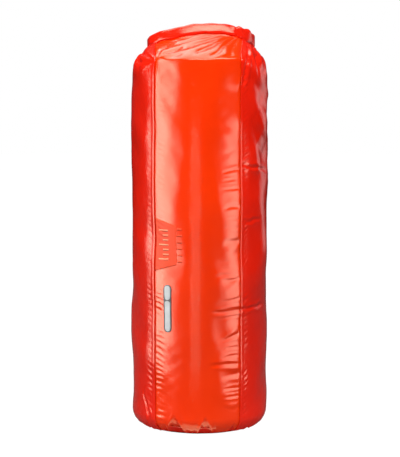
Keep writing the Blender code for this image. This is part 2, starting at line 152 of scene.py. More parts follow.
# Where the wall is pinched into the base: middle angle, half width in degrees, height and depth
BASE_PINCHES = (
    (-20.0, 9.0, 0.036, 0.0068),
    (7.0, 7.0, 0.036, 0.0062),
    (33.0, 3.6, 0.024, 0.0034),
    (-33.0, 3.0, 0.016, 0.0016),
    (-52.0, 4.0, 0.022, 0.0024),
    (55.0, 4.5, 0.020, 0.0024),
    (80.0, 4.0, 0.024, 0.0020),
    (-78.0, 5.0, 0.020, 0.0022),
    (118.0, 5.0, 0.024, 0.0024),
    (-112.0, 4.0, 0.020, 0.0022),
    (150.0, 4.5, 0.022, 0.0022),
    (-146.0, 5.0, 0.024, 0.0024),
    (178.0, 4.0, 0.020, 0.0020),
)

# Where the neck's folds gather: beside the roll's right end, and at the left weld
RIGHT_GATHER = 0.068
LEFT_GATHER = -0.0705
RIGHT_FOLD_HEIGHT = 0.0038
LEFT_FOLD_HEIGHT = 0.0034
SIDE_FOLD_HEIGHT = 0.0030
TUCK_DEPTH = 0.0085

# Upright softboxes that show only in reflections: name, azimuths, distance, heights and radiance
REFLECTED_BOXES = (
    ("left_strip", (-87, -78), 0.74, (0.0, 0.47), 3.4),
    ("left", (-78, -52), 0.74, (0.0, 0.58), 8.2),
    ("left_inner", (-52, -41), 0.74, (0.0, 0.55), 6.2),
    ("left_edge", (-41, -33), 0.74, (0.02, 0.44), 3.4),
    ("right", (46, 68), 0.55, (0.0, 0.45), 4.8),
    ("right_inner", (37, 46), 0.55, (0.0, 0.38), 3.0),
    ("front", (-4.4, -3.8), 0.60, (0.0, 0.45), 25.0),
    ("roll", (-26, 70), 2.2, (1.95, 3.8), 8.5),
)

# Lights that only act on the diffuse shading: name, place, aim, width, height and power
SHADING_LIGHTS = (
    ("key_light", (0.30, -1.75, 2.25), (0, 0, 0.40), 1.2, 1.0, 108),
    ("left_fill", (-2.0, -0.9, 1.9), (0, 0, 0.35), 1.0, 1.0, 68),
    ("back_fill", (-0.5, 1.5, 2.1), (0, 0, 0.6), 2.0, 1.1, 70),
    ("right_fill", (1.9, -0.1, 1.5), (0, 0, 0.35), 1.0, 1.0, 22),
    ("floor_glow_wide", (0, 0, 0.0015), (0, 0, 1), 0.38, 0.38, 0.38),
)


# Nodes


def shader(name):
    """A new material, and short calls that add a node to it and link its sockets."""
    made = bpy.data.materials.new(name)
    made.use_nodes = True
    tree = made.node_tree
    surface = tree.nodes["Principled BSDF"]

    def node(kind, links=None, **values):
        new = tree.nodes.new("ShaderNode" + kind)
        for key, value in values.items():
            if key.startswith("in_"):
                new.inputs[int(key[3:])].default_value = value
            else:
                setattr(new, key, value)
        for socket, source in (links or {}).items():
            tree.links.new(source, new.inputs[socket])
        return new

    return made, surface, node, tree.links.new


def ramp(node, source, stops):
    """A colour ramp over the source, through these places and colours."""
    made = node("ValToRGB", {0: source})
    elements = made.color_ramp.elements
    while len(elements) < len(stops):
        elements.new(0.5)
    for element, (place, colour) in zip(elements, stops):
        element.position = place
        element.color = (*colour, 1.0) if len(colour) == 3 else colour
    return made.outputs[0]


def coated_fabric(name, colour, deep, roughness=0.165):
    """Glossy coated cloth: the weave shows faintly through the coat, and broad stains of colour."""
    made, surface, node, link = shader(name)
    place = node("TexCoord").outputs["Object"]
    broad = node("TexNoise", {"Vector": place}, in_2=9.0, in_3=3.0).outputs[0]
    fine = node("TexNoise", {"Vector": place}, in_2=900.0, in_3=2.0).outputs[0]
    tone = ramp(node, broad, [(0.30, deep), (0.62, colour)])
    link(tone, surface.inputs["Base Color"])
    waves = []
    for direction in ("Z", "X"):
        waves.append(
            node(
                "TexWave", {"Vector": place}, bands_direction=direction, in_1=1400.0, in_2=0.4, in_3=1.0
            ).outputs["Fac"]
        )
    weave = node("Math", {0: waves[0], 1: waves[1]}, operation="MULTIPLY").outputs[0]
    grain = node("Math", {0: weave, 1: fine}, operation="ADD").outputs[0]
    bump = node("Bump", {"Height": grain}, in_0=0.06, in_1=0.0004).outputs[0]
    link(bump, surface.inputs["Normal"])
    gloss = node("MapRange", {0: fine}, in_1=0.3, in_2=0.7, in_3=roughness - 0.03, in_4=roughness + 0.05)
    link(gloss.outputs[0], surface.inputs["Roughness"])
    surface.inputs["Specular IOR Level"].default_value = 0.7
    surface.inputs["Specular Tint"].default_value = (1.0, 0.80, 0.60, 1.0)
    return made


# The fabric tube's shape


def spline_points(points, steps):
    """A smooth line through the points, as a Catmull-Rom spline with this many steps between each pair."""
    line = [Vector(p) for p in points]
    ends = [2 * line[0] - line[1], *line, 2 * line[-1] - line[-2]]
    found = []
    for a, b, c, d in zip(ends, ends[1:], ends[2:], ends[3:]):
        for i in range(steps):
            t = i / steps
            found.append(
                0.5 * (2 * b + (c - a) * t + (2 * a - 5 * b + 4 * c - d) * t**2 + (3 * b - 3 * c + d - a) * t**3)
            )
    return np.array([*found, line[-1]])


def arc_lengths(line):
    """How far along the line each of its points is."""
    return np.concatenate([[0.0], np.cumsum(np.linalg.norm(np.diff(line, axis=0), axis=1))])


def resample(line, lengths):
    """The points at these lengths along the line."""
    at = arc_lengths(line)
    return np.stack([np.interp(lengths, at, line[:, i]) for i in range(3)], axis=1)


def mouth_line():
    """The middle line of the rolled mouth, drawn in towards the loop's middle until it is as long as the mouth."""
    line = spline_points(ROLL_LINE, 12)
    middle = np.array(LOOP_MIDDLE)
    for _ in range(4):
        scale = MOUTH_WIDTH / arc_lengths(line)[-1]
        line[:, :2] = middle[:2] + (line[:, :2] - middle[:2]) * scale
    return line


MOUTH = mouth_line()
MOUTH_LENGTH = arc_lengths(MOUTH)[-1]


def mouth_point(share, outward=0.0, up=0.0):
    """The point at this share of the mouth's line, moved outwards from the loop and up."""
    at = np.clip(share, 0.0, 1.0) * MOUTH_LENGTH
    point = resample(MOUTH, [at])[0]
    ahead, behind = resample(MOUTH, [min(at + 0.002, MOUTH_LENGTH), max(at - 0.002, 0.0)])
    direction = (ahead - behind)[:2] / np.linalg.norm((ahead - behind)[:2])
    return point + np.array([direction[1] * outward, -direction[0] * outward, up])


def mouth_share(angle):
    """How far from the mouth's middle to its end the fabric at this angle is, on either of the mouth's two layers."""
    away = abs(angle)
    edge = PANEL_HALF_ANGLE / 90.0
    if away <= PANEL_HALF_ANGLE:
        return away / 90.0
    if away <= TIP_ANGLE:
        return edge + (1 - edge) * (away - PANEL_HALF_ANGLE) / (TIP_ANGLE - PANEL_HALF_ANGLE)
    return (180.0 - away) / (180.0 - TIP_ANGLE)


def neck_point(angle, up):
    """Where the fabric at this angle meets the mouth's line, in the front or back layer."""
    side = math.copysign(1.0, angle)
    layer = math.copysign(min(1.0, abs(TIP_ANGLE - abs(angle)) / 8.0), TIP_ANGLE - abs(angle))
    return mouth_point(0.5 + 0.5 * side * mouth_share(angle), layer * NECK_HALF_THICKNESS, up)


def wall_point(angle, radius, height):
    """The point at this angle from the front, radius and height."""
    a = math.radians(angle)
    return np.array([radius * math.sin(a), -radius * math.cos(a), height])


def between(low, high, values):
    """A smooth step: 0 below low, 1 above high."""
    t = np.clip((values - low) / (high - low), 0.0, 1.0)
    return t * t * (3 - 2 * t)


def tube_column(angle):
    """The points up one line of the tube, and how far each is above the shoulder's start and below the mouth."""
    line = []
    for a in np.radians(np.linspace(WALL_START_ANGLE, 90.0, 24)):
        radius = RADIUS - ROUNDING * (1 - math.sin(a))
        line.append(wall_point(angle, radius, ROUNDING * (1 - math.cos(a))))
    line.append(wall_point(angle, RADIUS, TOP_START))
    below = np.array(line)
    rows_below = round((TOP_START - ROUNDING + ROUNDING * math.radians(90.0 - WALL_START_ANGLE)) / ROW)
    lower = resample(below, np.linspace(0.0, arc_lengths(below)[-1], rows_below + 1))

    share = (1 - math.cos(math.radians(angle))) / 2
    front = float(1 - between(PANEL_HALF_ANGLE - 6, PANEL_HALF_ANGLE + 24, abs(angle)))
    side_height = SHOULDER_FRONT + (SHOULDER_BACK - SHOULDER_FRONT) * share
    start = wall_point(angle, RADIUS, side_height + (FRONT_BREAK - side_height) * front)
    end = neck_point(angle, -ROLL_HEIGHT / 2 + 0.004)
    lift = np.array([0.0, 0.0, SHOULDER_RISE + (FRONT_BREAK_RISE - SHOULDER_RISE) * front])
    inward = np.array([end[0] - start[0], end[1] - start[1], 0.0])
    approach = end - 0.40 * inward - np.array([0.0, 0.0, 0.010])
    top = [wall_point(angle, RADIUS, TOP_START)]
    for t in np.linspace(0.0, 1.0, 60):
        top.append(
            start * (1 - t) ** 3 + (start + lift) * 3 * t * (1 - t) ** 2 + approach * 3 * t**2 * (1 - t) + end * t**3
        )
    top = np.array(top)
    length = arc_lengths(top)[-1]
    upper = resample(top, np.linspace(0.0, length, TOP_ROWS + 1))
    column = np.concatenate([lower, upper[1:]])
    along = np.concatenate([lower[:, 2] - TOP_START, np.linspace(0.0, length, TOP_ROWS + 1)[1:]])
    return column, along - (start[2] - TOP_START), length - along


# Creases and folds. Each returns how far the fabric stands out of its plain shape, in metres.


def ripple(points, seed, size, terms=7):
    """A smooth field of bumps, about -1 to 1, whose bumps are about size across (a number, or one for each axis)."""
    rng = np.random.default_rng(seed)
    total = 0.0
    for _ in range(terms):
        direction = rng.normal(size=3)
        direction *= rng.uniform(0.6, 1.5) / np.linalg.norm(direction)
        total = total + np.sin(2 * math.pi * (points / np.array(size)) @ direction + rng.uniform(0, 2 * math.pi))
    return total * 1.3 / terms**0.5


def facets(points, seed, size, terms=5):
    """Flat facets with sharp creases between them, about -1 to 1."""
    rng = np.random.default_rng(seed)
    total = 0.0
    for _ in range(terms):
        direction = rng.normal(size=3)
        direction *= rng.uniform(0.6, 1.4) / np.linalg.norm(direction)
        phase = (points / np.array(size)) @ direction + rng.uniform()
        total = total + 4 * np.abs(phase - np.floor(phase) - 0.5) - 1
    return total / terms**0.5


def crease(across, width):
    """A sharp valley at across = 0 with a soft lip on each side."""
    valley = -np.exp(-np.abs(across) / width)
    lip = 0.45 * np.exp(-(((np.abs(across) - 2.2 * width) / (1.3 * width)) ** 2))
    return valley + lip


def pleats(phase, sharpness=0.8):
    """Round ridges with sharp valleys between them, 0 to 1, one for each unit of phase."""
    return np.abs(np.sin(math.pi * phase)) ** sharpness


def seam_puckers(angle, height, points):
    """Short slanting puckers beside both welds, and the creases that spread from the right one across the front."""
    wander = 0.25 * ripple(points, 11, 0.06)
    strength = 0.75 + 0.35 * ripple(points, 12, 0.045)
    total = 0.0
    for side, spread, weld_height in ((-1, 0.022, 0.0005), (1, 0.036, 0.0002)):
        inside = RADIUS * np.radians(PANEL_HALF_ANGLE - side * angle)
        outside = -inside
        slant = height / PUCKER_STEP + wander
        red = between(0.0035, 0.007, outside) * (1 - between(0.009, 0.020, outside))
        total = total + RED_PUCKER_HEIGHT * red * strength * (pleats(slant - outside / PUCKER_SLANT, 0.7) - 1.0)
        orange = between(0.0005, 0.003, inside) * (1 - between(0.4 * spread, spread, inside))
        if side < 0:
            orange = orange * (1 - between(0.44, 0.54, height))
            total = total + PUCKER_HEIGHT * orange * strength * (pleats(slant + 41 * inside, 1.2) - 0.8)
        else:
            orange = orange * (1 - between(0.40, 0.46, height)) * between(0.03, 0.06, height)
            step = height / CREASE_STEP + 6 * inside + 0.35 * np.sin(95 * height) + 0.3 * wander
            depth = 0.0015 * between(-0.1, 0.9, strength)
            total = total + depth * orange * crease(CREASE_STEP * (step - np.round(step)), CREASE_WIDTH)
        total = total + weld_height * np.sin(math.pi * np.clip(outside / WELD_WIDTH, 0.0, 1.0))
    return total


def wall_creases(angle, height, points):
    """The wall's single creases: across the right seam, low on the left side, and crumples high on the right."""
    bent = 0.0012 * ripple(points, 21, 0.03)
    total = 0.0
    for level, low, high, tilt, depth in WALL_CREASES:
        reach = between(low - 3, low + 6, angle) * (1 - between(high - 8, high + 3, angle))
        across = height - level - tilt * RADIUS * np.radians(angle - low) + bent
        total = total + depth * reach * crease(across, WALL_CREASE_WIDTH)
    low_left = between(0.008, 0.02, height) * (1 - between(0.060, 0.075, height))
    across = RADIUS * np.radians(angle + 47.0) + 0.18 * (height - 0.02) + 2 * bent
    total = total + 0.0018 * low_left * crease(across, 0.0020)
    crumpled = between(44, 62, angle) * (1 - between(112, 130, angle)) * between(0.34, 0.44, height)
    total = total + 0.0026 * crumpled * facets(points, 22, (0.062, 0.062, 0.054))
    other = between(44, 70, np.abs(angle)) * (1 - 0.6 * crumpled)
    total = total + 0.0006 * other * facets(points, 23, (0.080, 0.080, 0.110))
    return total


def neck_folds(angle, above, below, points):
    """Folds on the shoulder, which gather at the right end of the roll's front, and at the left weld."""
    height = points[..., 2]
    u = RADIUS * np.radians(angle)
    wander = 0.30 * ripple(points, 31, 0.050)

    # The long folds that fan out from the roll's right end
    right_u, right_m = u - RIGHT_GATHER, below + 0.004
    reach = np.hypot(right_u, right_m)
    turn = np.degrees(np.arctan2(right_m, -right_u))
    fan = between(0.010, 0.035, reach) * (1 - between(0.100, 0.125, reach))
    fan = fan * between(2, 14, turn) * (1 - 0.75 * between(66, 84, turn)) * between(0.001, 0.012, above)
    total = RIGHT_FOLD_HEIGHT * fan * (pleats(turn / 13.5 + 0.1 + 0.22 * wander, 0.7) - 0.62)

    # The short ones at the left weld, and the crumples between them
    left_u, left_w = u - LEFT_GATHER, above + 0.002
    reach = np.hypot(left_u, left_w)
    turn = np.degrees(np.arctan2(left_u, left_w))
    fan = between(0.002, 0.012, reach) * (1 - between(0.045, 0.075, reach))
    fan = fan * (1 - between(58, 75, turn)) * between(-75, -50, turn) * between(-0.004, 0.004, above)
    total = total + LEFT_FOLD_HEIGHT * fan * (pleats(turn / 26.0 + 0.25 + 0.2 * wander, 0.7) - 0.65)
    corner = np.exp(-(((u + 0.058) / 0.015) ** 2)) * between(-0.004, 0.006, above) * (1 - between(0.026, 0.045, above))
    total = total + 0.0012 * corner * facets(points, 33, (0.020, 0.020, 0.020))

    # The fold that runs down from the roll's right end to the right weld
    across = u - RADIUS * math.radians(41.0) - 0.26 * (height - 0.545)
    pulled = between(0.528, 0.550, height) * between(0.004, 0.020, below)
    total = total + 0.0026 * pulled * crease(across, 0.0030)

    # The gathers round the sides and back, and the tuck under the roll
    away = np.abs(angle)
    gather = between(42, 56, away) * between(-0.012, 0.030, above) * between(0.003, 0.016, below)
    total = total + SIDE_FOLD_HEIGHT * gather * (pleats(away / 15.0 + 0.8 * wander, 0.8) - 0.62)
    tucked = np.exp(-(((below - 0.008) / 0.0045) ** 2)) * (1 - between(64, 80, away))
    total = total - TUCK_DEPTH * tucked
    soft = between(-0.030, 0.010, above) * between(0.004, 0.02, below)
    total = total + 0.0005 * soft * ripple(points, 32, 0.045)
    return total


def bottom_pinches(angle, height):
    """Small puckers where the wall is gathered into the base: sunk triangles with a lip along each side."""
    total = 0.0
    for middle, half_width, tall, depth in BASE_PINCHES:
        left = np.clip(1 - height / tall, 0.0, 1.0)
        edge = RADIUS * np.radians(np.abs(angle - middle) - half_width * left)
        inside = 1 - between(-0.0034, 0.0006, edge)
        lip = 0.20 * np.exp(-((edge / 0.0028) ** 2)) - 0.15 * np.exp(-(((edge - 0.0065) / 0.0034) ** 2))
        total = total + depth * (lip - inside) * left * between(-0.001, 0.003, height)
    return total


def relief(angle, above, below, points):
    """How far the fabric stands out of its plain shape, from all its creases."""
    height = points[..., 2]
    wall = 1 - between(-0.02, 0.01, above)
    free = between(0.010, 0.050, height)
    free = free * (0.12 + 0.88 * between(7, 24, np.abs(angle)))
    total = 0.0009 * free * ripple(points, 1, (0.10, 0.10, 0.17))
    total = total + 0.00040 * free * ripple(points, 2, (0.05, 0.05, 0.06))
    total = total + 0.00006 * wall * ripple(points, 3, (0.020, 0.020, 0.012))
    middle = 1 - between(2.5, 7.0, np.abs(angle + 4.0))
    total = total + 0.00007 * wall * middle * ripple(points, 4, (0.011, 0.011, 0.009))
    total = total + wall * seam_puckers(angle, height, points) + wall * wall_creases(angle, height, points)
    total = total + neck_folds(angle, above, below, points) + bottom_pinches(angle, height)
    return total * between(0.0, 0.006, below)


def tube_grid(angles):
    """The creased fabric over these angles from the front, as an array of columns by rows by 3. Also its angles, its
    rows' heights, and how far its points are above the shoulder's start and below the mouth."""
    columns, above, below = zip(*(tube_column(a if a <= 180 else a - 360) for a in angles))
    grid = np.array(columns)
    signed = np.where(angles > 180, angles - 360, angles)[:, None] * np.ones(grid.shape[1])
    out = relief(signed, np.array(above), np.array(below), grid)
    return grid + out[..., None] * grid_normals(grid), signed, grid[0, :, 2], np.array(above), np.array(below)


def grid_normals(grid):
    """The outward direction at each point of a grid."""
    normal = np.cross(np.gradient(grid, axis=0), np.gradient(grid, axis=1))
    return normal / np.maximum(np.linalg.norm(normal, axis=2, keepdims=True), 1e-9)


def grid_mesh(name, grid, closed=False):
    """A smooth mesh over a grid of points, whose last column can join its first."""
    columns, rows = grid.shape[:2]
    index = np.arange(columns * rows).reshape(columns, rows)
    nexts = np.roll(index, -1, axis=0) if closed else index[1:]
    firsts = index if closed else index[:-1]
    faces = np.stack([firsts[:, :-1], nexts[:, :-1], nexts[:, 1:], firsts[:, 1:]], axis=-1).reshape(-1, 4)
    mesh = bpy.data.meshes.new(name)
    mesh.from_pydata(grid.reshape(-1, 3).tolist(), [], faces.tolist())
    mesh.shade_smooth()
    obj = bpy.data.objects.new(name, mesh)
    bpy.context.scene.collection.objects.link(obj)
    return obj


def thicken(obj, thickness):
    """Gives a sheet its thickness, inwards."""
    shell = obj.modifiers.new("Thickness", "SOLIDIFY")
    shell.thickness = thickness
    shell.offset = -1.0


def finish_piece(obj, look, slot, *replaced):
    """Sets a piece's material and hides the CAD nodes that it stands for. Its slot is not used."""
    obj.data.materials.clear()
    obj.data.materials.append(look)
    if replaced:
        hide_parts(*replaced)


# The rolled mouth


def spiral_outline(height):
    """The rolled layers, as two lists of points: the outside of the spiral band and its inside, from under the roll."""
    half_straight = (height - ROLL_LOOK_THICKNESS) / 2
    start_radius = (ROLL_LOOK_THICKNESS - ROLL_LAYER) / 2
    outer, inner = [], []
    steps = 11
    for half_turn in range(-1, ROLL_HALF_TURNS):
        for step in range(7 if half_turn < 0 else 0, steps + 1):
            turned = half_turn + step / steps
            radius = start_radius - ROLL_PITCH * turned / 2
            a = math.pi * turned
            middle = half_straight if half_turn % 2 == 0 else -half_straight
            for side, points in ((0.5, outer), (-0.5, inner)):
                r = radius + side * ROLL_LAYER
                points.append((-r * math.cos(a), middle + r * math.sin(a)))
    return np.array(outer), np.array(inner)


def roll_shape(share):
    """At this share of the mouth: how much taller and thicker the roll is, and how far it leans back."""
    at = mouth_point(share)
    flap = float(between(FLAP_START, FLAP_START + 0.003, at[0]) * (1 - between(FLAP_END, FLAP_END + 0.02, at[0])))
    flap *= float(at[1] < 0.05)
    edge = math.exp(-(((at[0] - FLAP_START) / 0.0022) ** 2)) * float(at[1] < 0.02)
    wave = 0.015 * math.sin(31 * share) + 0.012 * math.sin(67 * share + 1.3)
    front = float(1 - between(-0.002, 0.030, at[1]))
    lean = front * (7.0 + 13.0 * float(between(-0.060, 0.000, at[0]) * (1 - between(0.048, 0.056, at[0]))))
    return 1 + wave + 0.24 * flap - 0.10 * edge, 1 + 0.6 * wave + 0.24 * flap - 0.30 * edge, math.radians(lean)


def roll_wrinkles(points, share, around):
    """Creases across the roll: slanting ones along it, sharp ones where it turns the corners."""
    at = mouth_point(share)
    corner = float(between(0.055, 0.064, at[0]) * (1 - between(0.045, 0.075, at[1])))
    corner += 0.35 * float(between(0.060, 0.080, -at[0]) * (1 - between(0.045, 0.075, at[1])))
    slanting = np.sin(2 * math.pi * (share * 11 + 1.1 * np.sin(around))) * 0.00016
    sharp = facets(points, 41, (0.030, 0.030, 0.024)) * (0.00008 + 0.0008 * corner)
    return slanting + sharp + 0.00022 * ripple(points, 42, 0.030)


def rolled_mouth():
    """The roll: a flattened spiral of fabric, swept along the mouth's line and creased."""
    rings = []
    for station in range(ROLL_STATIONS + 1):
        share = station / ROLL_STATIONS
        place = mouth_point(share, 0.0, -ROLL_DROP)
        outward = mouth_point(share, 1.0) - mouth_point(share)
        tall, thick, lean = roll_shape(share)
        outer, inner = spiral_outline(ROLL_LOOK_HEIGHT)
        ring = np.concatenate([outer, inner[::-1]])
        around = np.arctan2(ring[:, 1] / ROLL_LOOK_HEIGHT, ring[:, 0] / ROLL_LOOK_THICKNESS)
        across, up = -ring[:, 0] * thick, ring[:, 1] * tall
        across, up = across * math.cos(lean) - up * math.sin(lean), across * math.sin(lean) + up * math.cos(lean)
        points = place + across[:, None] * outward + up[:, None] * np.array([0.0, 0.0, 1.0])
        swell = 1 + roll_wrinkles(points, share, around) / (0.5 * ROLL_LOOK_THICKNESS)
        rings.append(place + (points - place) * swell[:, None])
    grid = np.array(rings)
    stations, count = grid.shape[:2]
    index = np.arange(stations * count).reshape(stations, count)
    nexts = np.roll(index, -1, axis=1)
    faces = np.stack([index[:-1], index[1:], nexts[1:], nexts[:-1]], axis=-1).reshape(-1, 4).tolist()
    half = count // 2
    for ring, flip in ((index[0], False), (index[-1], True)):
        for i in range(half - 1):
            quad = [int(ring[i]), int(ring[i + 1]), int(ring[count - 2 - i]), int(ring[count - 1 - i])]
            faces.append(quad[::-1] if flip else quad)
    mesh = bpy.data.meshes.new("roll")
    mesh.from_pydata(grid.reshape(-1, 3).tolist(), [], faces)
    mesh.shade_smooth()
    obj = bpy.data.objects.new("roll", mesh)
    bpy.context.scene.collection.objects.link(obj)
    finish_piece(obj, RED, "red_fabric", "rolled_mouth")
    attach(obj, "closure")


# Base


def base_fabric():
    """The round base: nearly flat on the floor, with its rim turned up inside the wall."""
    tuck = FABRIC + 0.0007
    profile = [(r, 0.0) for r in np.linspace(0.002, RADIUS - ROUNDING, 20)]
    for b in np.radians(np.linspace(4.0, 58.0, 16)):
        step = 1 - float(between(0.0, math.radians(24.0), b))
        height = ROUNDING - (ROUNDING - tuck) * math.cos(b) - tuck * step
        profile.append((RADIUS - ROUNDING + (ROUNDING - tuck) * math.sin(b), height))
    angles = np.linspace(0.0, 360.0, 121)[:-1]
    signed = np.where(angles > 180, angles - 360, angles)
    grid = np.array([[wall_point(a, r, z) for r, z in profile] for a in angles])
    distance = np.hypot(grid[..., 0], grid[..., 1])
    rim = between(RADIUS - 0.034, RADIUS - 0.015, distance)
    push = rim * bottom_pinches(signed[:, None], np.maximum(grid[..., 2], 0.0))
    radial = grid * np.array([1.0, 1.0, 0.0]) / distance[..., None]
    grid = grid + push[..., None] * radial
    lift = 0.0006 * (1 - rim) * (1 + ripple(grid, 51, 0.05))
    grid[..., 2] += np.maximum(lift, 0.0) * between(0.0, 0.02, RADIUS - 0.030 - distance)
    obj = grid_mesh("base_fabric", grid, closed=True)
    hub = bmesh.new()
    hub.from_mesh(obj.data)
    hub.verts.ensure_lookup_table()
    rows = len(profile)
    hub.faces.new([hub.verts[column * rows] for column in reversed(range(len(angles)))])
    hub.to_mesh(obj.data)
    hub.free()
    thicken(obj, FABRIC)
    finish_piece(obj, RED, "red_fabric", "base_panel")
    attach(obj, "bag")


# Prints


def on_front(front, heights, angle, height, out):
    """The point on the front fabric at this angle and height, moved out along its normal."""
    grid, normals = front
    lap = PANEL_HALF_ANGLE + LAP_ANGLE
    column = np.clip((angle + lap) / (2 * lap) * FRONT_CELLS, 0, FRONT_CELLS - 1e-6)
    row = np.interp(height, heights, np.arange(len(heights)))
    i, j = int(column), int(row)
    a, b = column - i, row - j

    def mixed(array):
        low = array[i, j] * (1 - b) + array[i, j + 1] * b
        high = array[i + 1, j] * (1 - b) + array[i + 1, j + 1] * b
        return low * (1 - a) + high * a

    return mixed(grid) + mixed(normals) * out


def patch(front, heights, name, outline, columns, rows, out, thickness, look, slot, *replaced):
    """A thin print that follows the front fabric. outline(s, t) gives an angle and a height for s and t from 0 to 1."""
    grid = np.array(
        [
            [on_front(front, heights, *outline(i / columns, j / rows), out) for j in range(rows + 1)]
            for i in range(columns + 1)
        ]
    )
    obj = grid_mesh(name, grid)
    thicken(obj, thickness)
    finish_piece(obj, look, slot, *replaced)
    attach(obj, "bag")


def prints(front, heights):
    """A plain scale on a darker field, and a plain two-part label, in place of the real bag's lettering."""

    def field(s, t):
        tall = VOLUME_TALL_EDGE + (VOLUME_SHORT_EDGE - VOLUME_TALL_EDGE) * s
        angle = VOLUME_ANGLES[0] + (VOLUME_ANGLES[1] - VOLUME_ANGLES[0]) * s
        return angle, VOLUME_MIDDLE + tall * (t - 0.5)

    patch(front, heights, "volume_field", field, 30, 40, 0.00022, 0.00014, DARK_ORANGE, "dark_orange", "volume_mark")
    for i in range(TICK_COUNT):
        level = VOLUME_MIDDLE + (i - (TICK_COUNT - 1) / 2) * TICK_PITCH
        long = i % 3 == 0
        low, high = TICK_ANGLES
        start = low if long else low + 0.42 * (high - low)

        def tick(s, t, level=level, start=start, high=high):
            return start + (high - start) * s, level + TICK_WIDTH * (t - 0.5)

        patch(front, heights, f"scale_tick_{i + 1}", tick, 10, 1, 0.00034, 0.00014, PALE_PRINT, "dark_orange")
    for i in range(DASH_COUNT):
        level = VOLUME_MIDDLE + (i - (DASH_COUNT - 1) / 2) * DASH_PITCH

        def dash(s, t, level=level):
            return DASH_ANGLES[0] + (DASH_ANGLES[1] - DASH_ANGLES[0]) * s, level + DASH_WIDTH * (t - 0.5)

        patch(front, heights, f"scale_dash_{i + 1}", dash, 6, 1, 0.00018, 0.00010, DARK_ORANGE, "dark_orange")

    def capsule(length, width, middle):
        half = width / 2

        def shape(s, t):
            along = -math.cos(math.pi * t)
            height = along * length / 2
            beyond = max(0.0, abs(height) - (length / 2 - half))
            reach = max(0.04 * half, math.sqrt(max(0.0, half**2 - beyond**2)))
            return BADGE_ANGLE + math.degrees((2 * s - 1) * reach / RADIUS), middle + height

        return shape

    rim = 0.0015
    face = BADGE_WIDTH - 2 * rim
    outer = capsule(BADGE_LENGTH, BADGE_WIDTH, BADGE_MIDDLE)
    patch(front, heights, "label_rim", outer, 10, 60, 0.0007, 0.0006, LABEL_RIM, "silver", "badge")
    short = 0.30 * BADGE_LENGTH
    long = BADGE_LENGTH - 3 * rim - short
    bottom = BADGE_MIDDLE - BADGE_LENGTH / 2 + rim
    lower = capsule(long, face, bottom + long / 2)
    upper = capsule(short, face, bottom + long + rim + short / 2)
    patch(front, heights, "label_face", lower, 8, 48, 0.00095, 0.0003, SILVER, "silver")
    patch(front, heights, "label_face_upper", upper, 8, 28, 0.00095, 0.0003, SILVER, "silver")


# Strip, webbing and buckle


def refined_copy(node, look, slot, bevel, name):
    """A copy of a CAD piece with its edges rounded, in its final material."""
    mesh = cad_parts[node].data.copy()
    obj = bpy.data.objects.new(name, mesh)
    bpy.context.scene.collection.objects.link(obj)
    weld = bmesh.new()
    weld.from_mesh(mesh)
    bmesh.ops.remove_doubles(weld, verts=weld.verts, dist=1e-6)
    bmesh.ops.dissolve_limit(weld, angle_limit=math.radians(1.0), verts=weld.verts, edges=weld.edges)
    weld.to_mesh(mesh)
    weld.free()
    mesh.shade_smooth()
    round_edges = obj.modifiers.new("Rounded edges", "BEVEL")
    round_edges.width = bevel
    round_edges.segments = 3
    round_edges.limit_method = "ANGLE"
    round_edges.angle_limit = math.radians(40.0)
    round_edges.harden_normals = True
    finish_piece(obj, look, slot, node)
    return obj


def hardware():
    """The stiffener strip, the webbing, its rivets and the buckle."""
    for node, look, slot, bevel, name, body in (
        ("stiffener_strip", WHITE_PLASTIC, "white_plastic", 0.0003, "strip", "closure"),
        ("left_tab", WEBBING, "black_webbing", 0.0003, "left_webbing", "closure"),
        ("left_rivet", STEEL, "steel", 0.0003, "left_rivet_head", "closure"),
        ("right_rivet", STEEL, "steel", 0.0003, "right_rivet_head", "closure"),
        ("buckle_socket", PLASTIC, "black_plastic", 0.0007, "socket", "closure"),
        ("buckle_plug", PLASTIC, "black_plastic", 0.0005, "plug_frame", "plug"),
        ("upper_latch_arm", PLASTIC, "black_plastic", 0.0005, "upper_arm_piece", "upper_arm"),
        ("lower_latch_arm", PLASTIC, "black_plastic", 0.0005, "lower_arm_piece", "lower_arm"),
    ):
        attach(refined_copy(node, look, slot, bevel, name), body)
    webbing = refined_copy("right_tab", WEBBING, "black_webbing", 0.0003, "right_webbing")
    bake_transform(webbing)


# Studio


def studio():
    """A white floor and surroundings for the camera, and near-black ones for reflections and bounced light."""
    floor_look, surface, node, link = shader("floor")
    surface.inputs["Base Color"].default_value = (0.05, 0.05, 0.05, 1.0)
    surface.inputs["Roughness"].default_value = 0.9
    surface.inputs["Specular IOR Level"].default_value = 0.0
    surface.inputs["Emission Color"].default_value = (1.0, 1.0, 1.0, 1.0)
    link(node("LightPath").outputs["Is Camera Ray"], surface.inputs["Emission Strength"])
    bpy.ops.mesh.primitive_circle_add(vertices=64, radius=6.0, fill_type="NGON", location=(0.0, 0.0, -0.0005))
    floor = bpy.context.object
    floor.name = "floor"
    floor.data.materials.append(floor_look)

    world = bpy.data.worlds.new("studio")
    bpy.context.scene.world = world
    world.use_nodes = True
    tree = world.node_tree
    background = tree.nodes["Background"]
    background.inputs["Strength"].default_value = 1.0
    path = tree.nodes.new("ShaderNodeLightPath")
    mix = tree.nodes.new("ShaderNodeMix")
    mix.data_type = "RGBA"
    tree.links.new(path.outputs["Is Camera Ray"], mix.inputs["Factor"])
    mix.inputs["A"].default_value = (0.03, 0.03, 0.033, 1.0)
    mix.inputs["B"].default_value = (1.0, 1.0, 1.0, 1.0)
    tree.links.new(mix.outputs["Result"], background.inputs["Color"])


